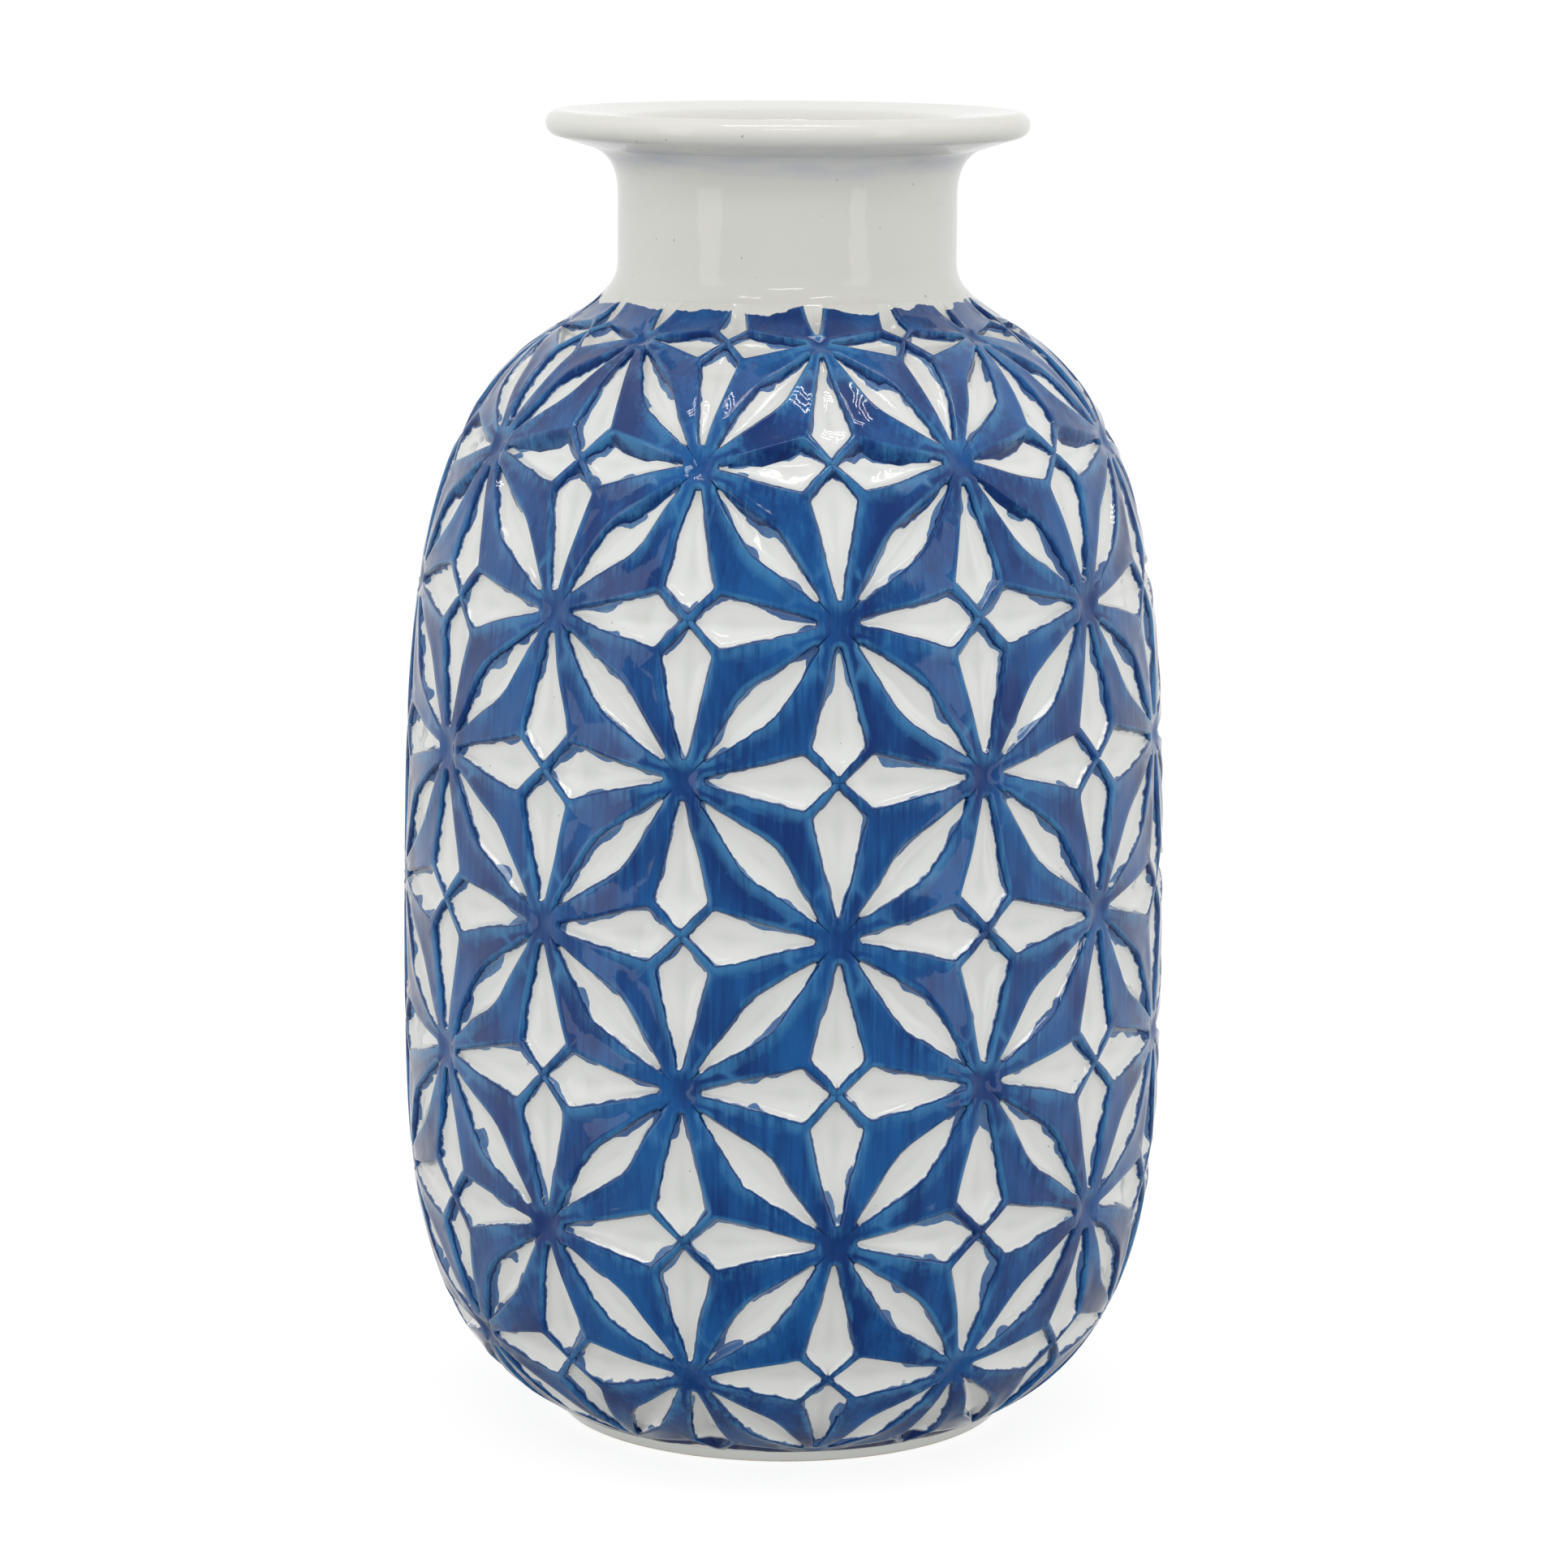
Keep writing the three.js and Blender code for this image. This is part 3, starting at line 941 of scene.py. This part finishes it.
class Shader:
    """A material with one Principled shader, and short ways to build the nodes that feed it."""

    def __init__(self, name: str) -> None:
        """Starts a material with its shader and output."""
        self.material = bpy.data.materials.new(name)
        self.material.use_nodes = True
        self.tree = self.material.node_tree
        self.tree.nodes.clear()
        self.surface = self.tree.nodes.new("ShaderNodeBsdfPrincipled")
        output = self.tree.nodes.new("ShaderNodeOutputMaterial")
        self.tree.links.new(self.surface.outputs["BSDF"], output.inputs["Surface"])
        coordinates = self.tree.nodes.new("ShaderNodeTexCoord")
        self.place = coordinates.outputs["Object"]
        split = self.tree.nodes.new("ShaderNodeSeparateXYZ")
        self.tree.links.new(self.place, split.inputs[0])
        self.level = split.outputs["Z"]

    def feed(self, socket: bpy.types.NodeSocket, value: object) -> None:
        """Links a value that is a socket to an input, or sets the input to it."""
        if isinstance(value, bpy.types.NodeSocket):
            self.tree.links.new(value, socket)
        else:
            socket.default_value = value

    def set(self, name: str, value: object) -> None:
        """Feeds one of the shader's own inputs."""
        self.feed(self.surface.inputs[name], value)

    def attribute(self, name: str) -> bpy.types.NodeSocket:
        """Number stored on the mesh under a name."""
        node = self.tree.nodes.new("ShaderNodeAttribute")
        node.attribute_name = name
        return node.outputs["Fac"]

    def math(self, operation: str, *values: Value, clamp: bool = False) -> bpy.types.NodeSocket:
        """Result of a math operation on its values."""
        node = self.tree.nodes.new("ShaderNodeMath")
        node.operation = operation
        node.use_clamp = clamp
        for socket, value in zip(node.inputs, values):
            self.feed(socket, value)
        return node.outputs[0]

    def add(self, *values: Value) -> bpy.types.NodeSocket:
        """Sum of its values."""
        total = values[0]
        for value in values[1:]:
            total = self.math("ADD", total, value)
        return total

    def times(self, *values: Value) -> bpy.types.NodeSocket:
        """Product of its values."""
        product = values[0]
        for value in values[1:]:
            product = self.math("MULTIPLY", product, value)
        return product

    def rise(self, value: Value, low: Value, high: Value) -> bpy.types.NodeSocket:
        """Smooth rise from nought at one value to one at another."""
        node = self.tree.nodes.new("ShaderNodeMapRange")
        node.interpolation_type = "SMOOTHSTEP"
        for name, number in (("Value", value), ("From Min", low), ("From Max", high)):
            self.feed(node.inputs[name], number)
        return node.outputs["Result"]

    def fall(self, value: Value, low: Value, high: Value) -> bpy.types.NodeSocket:
        """Smooth fall from one at one value to nought at another."""
        return self.math("SUBTRACT", 1.0, self.rise(value, low, high))

    def noise(self, scale: tuple[float, float, float] | float, detail: float = 2.0,
              roughness: float = 0.5, shift: float = 0.0) -> bpy.types.NodeSocket:
        """Noise round nought, from about -0.3 to 0.3, at so many waves to a metre.

        Args:
            scale: Waves to a metre along X, Y and Z, or one number for all three.
            detail: Octaves added.
            roughness: Strength of each octave over the one before.
            shift: Moves the pattern, so that two of them differ.
        """
        node = self.tree.nodes.new("ShaderNodeTexNoise")
        node.inputs["Scale"].default_value = 1.0
        node.inputs["Detail"].default_value = detail
        node.inputs["Roughness"].default_value = roughness
        mapping = self.tree.nodes.new("ShaderNodeMapping")
        factors = (scale, scale, scale) if isinstance(scale, (int, float)) else scale
        mapping.inputs["Scale"].default_value = factors
        mapping.inputs["Location"].default_value = (shift, 1.7 * shift, 2.3 * shift)
        self.tree.links.new(self.place, mapping.inputs["Vector"])
        self.tree.links.new(mapping.outputs[0], node.inputs["Vector"])
        return self.math("SUBTRACT", node.outputs["Fac"], 0.5)

    def mix(self, share: Value, first: object, second: object) -> bpy.types.NodeSocket:
        """Colour between two others."""
        node = self.tree.nodes.new("ShaderNodeMix")
        node.data_type = "RGBA"
        self.feed(node.inputs[0], share)
        self.feed(node.inputs[6], first)
        self.feed(node.inputs[7], second)
        return node.outputs[2]

    def bump(self, height: bpy.types.NodeSocket, distance: float, strength: float = 1.0) -> None:
        """Feeds the shader's normal with a bump of a height times a distance."""
        node = self.tree.nodes.new("ShaderNodeBump")
        node.inputs["Strength"].default_value = strength
        node.inputs["Distance"].default_value = distance
        self.tree.links.new(height, node.inputs["Height"])
        self.tree.links.new(node.outputs["Normal"], self.surface.inputs["Normal"])


@dataclass(frozen=True)
class WhiteGlaze:
    """Warm white glaze that turns greyer where it lies thick, with a few iron specks."""

    name: str = "white_glaze"
    body: tuple[int, int, int] = (220, 221, 218)
    neck: tuple[int, int, int] = (211, 210, 204)
    pooled: tuple[int, int, int] = (194, 196, 190)
    speck: tuple[int, int, int] = (120, 118, 110)
    neck_low: float = 235 * MM
    neck_high: float = 264 * MM
    # Bluish band under the lip: a painted reflection of the blue shoulder in the glaze.
    painted_reflection: tuple[int, int, int] = (166, 178, 198)
    painted_reflection_low: float = 290 * MM
    painted_reflection_high: float = 300.5 * MM
    roughness: float = 0.04

    def colour(self, shader: Shader, thick: Value) -> bpy.types.NodeSocket:
        """Colour of the glaze.

        Args:
            shader: Material that it belongs to.
            thick: How thick it lies, from nought to one.
        """
        cloud = shader.rise(shader.noise(38, 2, shift=4), -0.25, 0.3)
        thick = shader.math("ADD", thick, shader.times(cloud, 0.16), clamp=True)
        high = shader.rise(shader.level, self.neck_low, self.neck_high)
        thin = shader.mix(high, linear(*self.body), linear(*self.neck))
        glaze = shader.mix(thick, thin, linear(*self.pooled))
        specks = shader.rise(shader.noise(620, 1, shift=9), 0.285, 0.31)
        return shader.mix(shader.times(specks, 0.6), glaze, linear(*self.speck))

    def material(self) -> bpy.types.Material:
        """Builds the white finish of the neck, lip and floor, with a painted blue reflection under the lip.
        """
        shader = Shader(self.name)
        # Painted reflection: mixes the bluish band into the glaze between two levels under the lip.
        middle = (self.painted_reflection_low + self.painted_reflection_high) / 2
        level = shader.add(shader.level, shader.times(shader.noise(55, 2, shift=3), 0.006))
        painted_reflection = shader.times(shader.rise(level, self.painted_reflection_low, middle),
                            shader.fall(level, middle, self.painted_reflection_high),
                            shader.rise(shader.noise((40, 40, 240), 2, shift=5), -0.2, 0.2), 0.42)
        shader.set("Base Color", shader.mix(painted_reflection, self.colour(shader, 0.0), linear(*self.painted_reflection)))
        shader.set("Roughness", self.roughness)
        shader.set("IOR", 1.5)
        waves = shader.add(shader.noise(70, 2), shader.times(shader.noise(420, 1, shift=2), 0.12))
        shader.bump(waves, 0.35 * MM)
        return shader.material


@dataclass(frozen=True)
class PaintedGlaze:
    """Blue brushed over white glaze on the raised relief.

    The mesh's "edge" is the signed distance from the nearest petal's outline in millimetres, and
    its "upper" is one along upper edges and minus one along lower ones.
    """

    white: WhiteGlaze
    low: float
    high: float
    name: str = "blue_and_white_glaze"
    blue: tuple[int, int, int] = (22, 82, 142)
    # Deep blue of thick paint, also laid on down-facing walls as painted shade.
    deep_and_shade: tuple[int, int, int] = (12, 48, 106)
    # Light blue of thin paint on crests and streaks, also used as painted light on up-facing edges.
    thin: tuple[int, int, int] = (62, 124, 170)
    line: tuple[int, int, int] = (10, 34, 84)
    wash: tuple[int, int, int] = (74, 124, 168)
    roughness: float = 0.04

    def material(self) -> bpy.types.Material:
        """Builds the painted finish of the wall."""
        shader = Shader(self.name)
        edge = shader.attribute("edge")
        ragged = shader.add(
            shader.times(shader.noise(95, 1, shift=1), 0.7),
            shader.times(shader.noise(300, 2, shift=10), 0.95),
            shader.times(shader.noise(1000, 1, shift=3), 0.16))
        line = shader.add(edge, ragged)
        upper = shader.rise(shader.attribute("upper"), 0.3, 0.9)
        spill = shader.rise(shader.noise((85, 85, 70), 1, shift=6), -0.02, 0.26)
        drip = shader.rise(shader.noise((130, 130, 60), 1, shift=14), 0.04, 0.3)
        reach = shader.add(shader.times(upper, spill, 1.9), shader.times(drip, 1.6))
        spilt = shader.add(line, reach)
        belt = shader.times(
            shader.rise(shader.add(shader.level, shader.times(shader.noise(60, 3, shift=8), 0.008)),
                        self.low, self.low + 0.25 * MM),
            shader.fall(shader.add(shader.level, shader.times(shader.noise(90, 4, shift=5), 0.007)),
                        self.high, self.high + 0.25 * MM))
        wavy = shader.add(shader.level, shader.times(shader.noise(45, 2, shift=11), 0.005))
        border = shader.times(shader.rise(wavy, self.low, self.low + 0.2 * MM),
                              shader.fall(wavy, self.low + 3.2 * MM, self.low + 4.0 * MM))
        painted = shader.math("MAXIMUM", shader.times(shader.rise(line, 0.1, 0.2), belt), border)
        washed = shader.times(shader.rise(spilt, -0.06, 0.04), belt)

        streaks = shader.noise((900, 900, 42), 3, 0.65, shift=2)
        broad = shader.noise((75, 75, 38), 2, shift=7)
        tone = shader.rise(shader.add(broad, shader.times(streaks, 0.42)), -0.2, 0.2)
        paint = shader.mix(tone, linear(*self.deep_and_shade), linear(*self.blue))
        facing = shader.attribute("upper")
        # Painted shade: walls that face down, above the petals, are darkened towards the deep blue.
        under = shader.times(shader.rise(facing, 0.2, 0.8), shader.fall(edge, 0.5, 1.25))
        paint = shader.mix(shader.times(under, 0.8), paint, linear(*self.deep_and_shade))
        # Light crest bands of thin paint, made wider on up-facing lower edges as painted light.
        width = shader.math("MULTIPLY_ADD", shader.fall(facing, -0.8, 0.2), 2.0, 1.9)
        thin_and_lit_crest = shader.times(shader.rise(edge, 0.2, 0.55), shader.fall(edge, 0.9, width))
        worn = shader.add(shader.times(streaks, 0.55), shader.times(shader.noise(80, 2, shift=12), 1.0))
        patch = shader.rise(worn, -0.18, 0.2)
        paint = shader.mix(shader.times(thin_and_lit_crest, patch, 0.76), paint, linear(*self.thin))
        scratches = shader.rise(streaks, 0.13, 0.32)
        paint = shader.mix(shader.times(scratches, 0.42), paint, linear(*self.thin))
        outline = shader.fall(line, 0.26, 0.52)
        paint = shader.mix(shader.times(outline, 0.8), paint, linear(*self.line))

        pool = shader.times(shader.fall(edge, -5.0, -2.4), 0.3)
        glaze = self.white.colour(shader, pool)
        strength = shader.rise(shader.add(broad, shader.times(streaks, 0.4)), -0.3, 0.12)
        wash = shader.mix(strength, linear(*self.wash), linear(*self.blue))
        ground = shader.mix(shader.times(washed, 0.92), glaze, wash)
        shader.set("Base Color", shader.mix(painted, ground, paint))
        shader.set("Roughness", self.roughness)
        shader.set("IOR", 1.5)
        waves = shader.add(
            shader.times(shader.noise(110, 1, shift=3), 0.8),
            shader.times(shader.noise(420, 1, shift=5), 0.05),
            shader.times(painted, streaks, 0.03))
        shader.bump(waves, 0.3 * MM)
        return shader.material


@dataclass(frozen=True)
class BareClay:
    """Fired clay on the standing face, with glaze above it."""

    white: WhiteGlaze
    glaze_line: float = 0.35 * MM
    name: str = "bare_clay"
    clay: tuple[int, int, int] = (208, 201, 187)
    stain: tuple[int, int, int] = (184, 173, 156)

    def material(self) -> bpy.types.Material:
        """Builds the finish of the foot ring."""
        shader = Shader(self.name)
        grain = shader.noise(900, 3, 0.7)
        clay = shader.mix(shader.rise(shader.add(grain, shader.noise(90, 2, shift=5)), -0.25, 0.3),
                          linear(*self.clay), linear(*self.stain))
        line = shader.add(shader.level, shader.times(shader.noise(170, 3, shift=2), 0.0008))
        glazed = shader.rise(line, self.glaze_line, self.glaze_line + 0.12 * MM)
        shader.set("Base Color", shader.mix(glazed, clay, self.white.colour(shader, 0.55)))
        shader.set("Roughness", shader.math("MULTIPLY_ADD", glazed, -0.72, 0.82))
        shader.set("IOR", 1.5)
        shader.bump(shader.times(grain, shader.math("SUBTRACT", 1.0, glazed)), 0.25 * MM)
        return shader.material


# ---------------------------------------------------------------------------------------------
# Studio
# ---------------------------------------------------------------------------------------------
@dataclass(frozen=True)
class Softbox:
    """Rectangular light that faces the vase.

    Attributes:
        name: Name of the light.
        bearing: Degrees round the vase from the camera's side, positive to the right.
        distance: Distance from the vase's axis.
        level: Height of its middle.
        width: Width of its face.
        height: Height of its face.
        radiance: Brightness of its face.
    """

    name: str
    bearing: float
    distance: float
    level: float
    width: float
    height: float
    radiance: float

    def place(self, aim: Vector) -> None:
        """Makes the light and turns it to face a point."""
        light = bpy.data.lights.new(self.name, "AREA")
        light.shape = "RECTANGLE"
        light.size, light.size_y = self.width, self.height
        light.energy = self.radiance * math.pi * self.width * self.height
        lamp = bpy.data.objects.new(self.name, light)
        turn_angle = math.radians(self.bearing)
        lamp.location = (self.distance * math.sin(turn_angle), -self.distance * math.cos(turn_angle),
                         self.level)
        lamp.rotation_euler = (aim - lamp.location).to_track_quat("-Z", "Y").to_euler()
        bpy.context.scene.collection.objects.link(lamp)


@dataclass(frozen=True)
class Studio:
    """Pale floor, bright surroundings, softboxes and the camera."""

    aim: tuple[float, float, float] = (0.0, 0.0, 0.1484)
    camera_distance: float = 1.1758
    camera_elevation: float = 10.08
    camera_roll: float = 0.345
    lens: float = 115.3
    floor_radius: float = 30.0
    softboxes: tuple[Softbox, ...] = (
        Softbox("left_box", -53, 1.6, 0.35, 0.46, 1.5, 1.0),
        Softbox("right_box", 49, 1.6, 0.35, 0.36, 1.5, 1.0),
        Softbox("front_strip", 0, 1.1, 1.15, 0.5, 0.1, 6.0),
        *(Softbox(f"top_tube_{i}", 0, 0.28 + 0.075 * i, 1.5, 1.0, 0.01, 38.0) for i in range(4)),
    )

    def floor(self) -> None:
        """Round pale floor under the vase."""
        bpy.ops.object.select_all(action="DESELECT")
        bpy.ops.mesh.primitive_circle_add(
            vertices=128, radius=self.floor_radius, fill_type="NGON", location=(0, 0, -0.0002))
        floor = bpy.context.active_object
        floor.name = "floor"
        floor.visible_diffuse = False
        floor.visible_glossy = False
        shader = Shader("floor_paper")
        shader.set("Base Color", (0.16, 0.16, 0.16, 1))
        shader.set("Emission Color", (1, 1, 1, 1))
        shader.set("Emission Strength", 0.88)
        shader.set("Roughness", 0.9)
        shader.set("Specular IOR Level", 0.1)
        floor.data.materials.append(shader.material)
        floor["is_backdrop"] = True

    def surroundings(self) -> None:
        """White surroundings, dimmer in what the glaze mirrors in front of the vase."""
        world = bpy.data.worlds.new("surroundings")
        bpy.context.scene.world = world
        world.use_nodes = True
        nodes, links = world.node_tree.nodes, world.node_tree.links
        nodes.clear()
        output = nodes.new("ShaderNodeOutputWorld")
        direction = nodes.new("ShaderNodeTexCoord")
        split = nodes.new("ShaderNodeSeparateXYZ")
        links.new(direction.outputs["Generated"], split.inputs[0])

        def ramp(axis: str, low: float, high: float, dim: float, bright: float,
                 ) -> bpy.types.NodeSocket:
            """Brightness that rises between two values of a direction's axis."""
            node = nodes.new("ShaderNodeMapRange")
            node.interpolation_type = "SMOOTHSTEP"
            for name, value in (("From Min", low), ("From Max", high), ("To Min", dim),
                                ("To Max", bright)):
                node.inputs[name].default_value = value
            links.new(split.outputs[axis], node.inputs["Value"])
            return node.outputs["Result"]

        def product(first: bpy.types.NodeSocket, second: bpy.types.NodeSocket,
                    ) -> bpy.types.NodeSocket:
            """One brightness times another."""
            node = nodes.new("ShaderNodeMath")
            node.operation = "MULTIPLY"
            links.new(first, node.inputs[0])
            links.new(second, node.inputs[1])
            return node.outputs[0]

        lit, mirrored, seen = (nodes.new("ShaderNodeBackground") for _ in range(3))
        for background in (lit, mirrored, seen):
            background.inputs["Color"].default_value = (1, 1, 1, 1)
        links.new(product(ramp("Z", -1.0, 0.0, 0.34, 1.22), ramp("Z", 0.1, 1.0, 1.0, 0.5)),
                  lit.inputs["Strength"])
        links.new(product(ramp("Y", -1.0, 0.3, 0.22, 1.0), ramp("Z", -0.85, -0.1, 0.3, 1.0)),
                  mirrored.inputs["Strength"])
        path = nodes.new("ShaderNodeLightPath")
        first, second = (nodes.new("ShaderNodeMixShader") for _ in range(2))
        links.new(path.outputs["Is Glossy Ray"], first.inputs[0])
        links.new(lit.outputs[0], first.inputs[1])
        links.new(mirrored.outputs[0], first.inputs[2])
        links.new(path.outputs["Is Camera Ray"], second.inputs[0])
        links.new(first.outputs[0], second.inputs[1])
        links.new(seen.outputs[0], second.inputs[2])
        links.new(second.outputs[0], output.inputs["Surface"])

    def camera(self) -> None:
        """Camera a little above the middle of the vase, looking at its front."""
        data = bpy.data.cameras.new("camera")
        data.lens = self.lens
        data.sensor_width = 36
        camera = bpy.data.objects.new("camera", data)
        bpy.context.scene.collection.objects.link(camera)
        aim = Vector(self.aim)
        rise = math.radians(self.camera_elevation)
        camera.location = aim + self.camera_distance * Vector((0, -math.cos(rise), math.sin(rise)))
        look = (aim - camera.location).to_track_quat("-Z", "Y").to_matrix()
        roll = Matrix.Rotation(math.radians(self.camera_roll), 3, "Z")
        camera.rotation_euler = (look @ roll).to_euler()
        bpy.context.scene.camera = camera

    def build(self) -> None:
        """Sets up the whole studio."""
        self.floor()
        self.surroundings()
        for softbox in self.softboxes:
            softbox.place(Vector(self.aim))
        self.camera()
        bpy.context.scene.view_settings.view_transform = "Standard"


def as_numbers(box: object) -> list[list[float]]:
    """A box's two corners as plain lists."""
    return [[float(value) for value in corner] for corner in box]


def main() -> None:
    """Builds the studio and the five sections of the vase."""
    logging.basicConfig(level=logging.INFO, format="%(name)s: %(message)s")
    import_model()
    solid_box = as_numbers(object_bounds())
    Studio().build()

    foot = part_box("body_wall")[0].z
    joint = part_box("neck_collar")[0].z
    lip_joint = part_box("rim_lip")[0].z
    floor_low, floor_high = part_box("base_floor")
    height = solid_box[1][2]
    white = WhiteGlaze()
    white_finish = white.material()
    outline = Outline(
        foot_radius=54.5 * MM, foot_level=foot, belly_radius=89 * MM, height=height)
    relief = Relief()

    wall = BodyWall(outline, relief, foot, joint, seat_radius=floor_high.x + 0.5 * MM,
                    seat_top=floor_high.z).build()
    painted = PaintedGlaze(white, low=3.3 * MM, high=262.4 * MM).material()
    finish_piece(wall, painted, sharp_angle=80)
    lip = RimLip(height, lip_joint)
    finish_piece(lip.build(), white_finish, sharp_angle=40)
    collar = NeckCollar(outline, height, joint, lip_joint)
    finish_piece(collar.build(lip.underside(lip_joint)), white_finish, sharp_angle=40)
    finish_piece(BaseFloor(floor_high.x, floor_low.z, floor_high.z).build(),
                 white_finish, sharp_angle=40)
    finish_piece(FootRing(foot).build(), BareClay(white).material(), sharp_angle=50)


if __name__ == "__main__":
    main()
